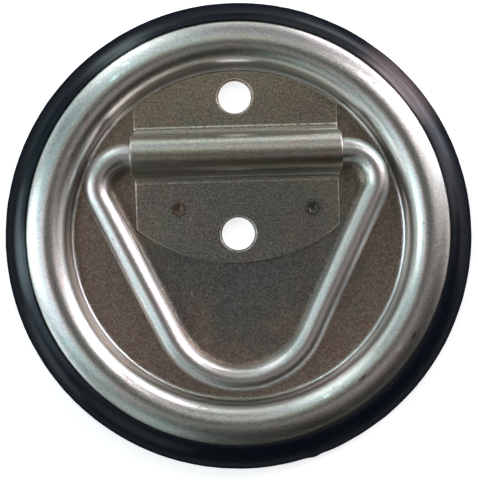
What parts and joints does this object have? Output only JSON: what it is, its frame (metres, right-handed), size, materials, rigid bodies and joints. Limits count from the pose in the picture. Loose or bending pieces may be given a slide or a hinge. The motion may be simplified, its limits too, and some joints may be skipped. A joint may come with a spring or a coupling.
{
  "type": "recessed pad eye",
  "caption": "Round recessed lashing point: pressed dish with rubber rim seal, strap bracket over the hinge bar, and a triangular ring that folds flat into the recess.",
  "frame": {"origin": "centre of the dish on the seating plane, which is the underside of the rim seal", "axes": "+Z out of the deck, +X along the hinge bar of the ring, +Y from the centre of the dish towards the hinge"},
  "size_m": [0.12, 0.12, 0.0101],
  "materials": {
    "dish_steel": "bright zinc plate, satin",
    "bracket_steel": "bright zinc plate, satin",
    "ring_steel": "bright zinc plate, satin",
    "weld_steel": "zinc-plated weld metal",
    "seal_rubber": "matte black, moulded"
  },
  "bodies": {
    "dish": {"dish_pan": "dish_steel", "ring_bracket": "bracket_steel", "spot_welds": "weld_steel", "rim_seal": "seal_rubber"},
    "ring": {"tie_ring": "ring_steel", "ring_weld": "weld_steel"}
  },
  "joints": [
    {"name": "ring_lift", "type": "hinge", "parent": "dish", "child": "ring", "pos_m": [0, 0.0206, 0.00045], "axis": [-1, 0, 0], "range_deg": [0, 95]}
  ]
}
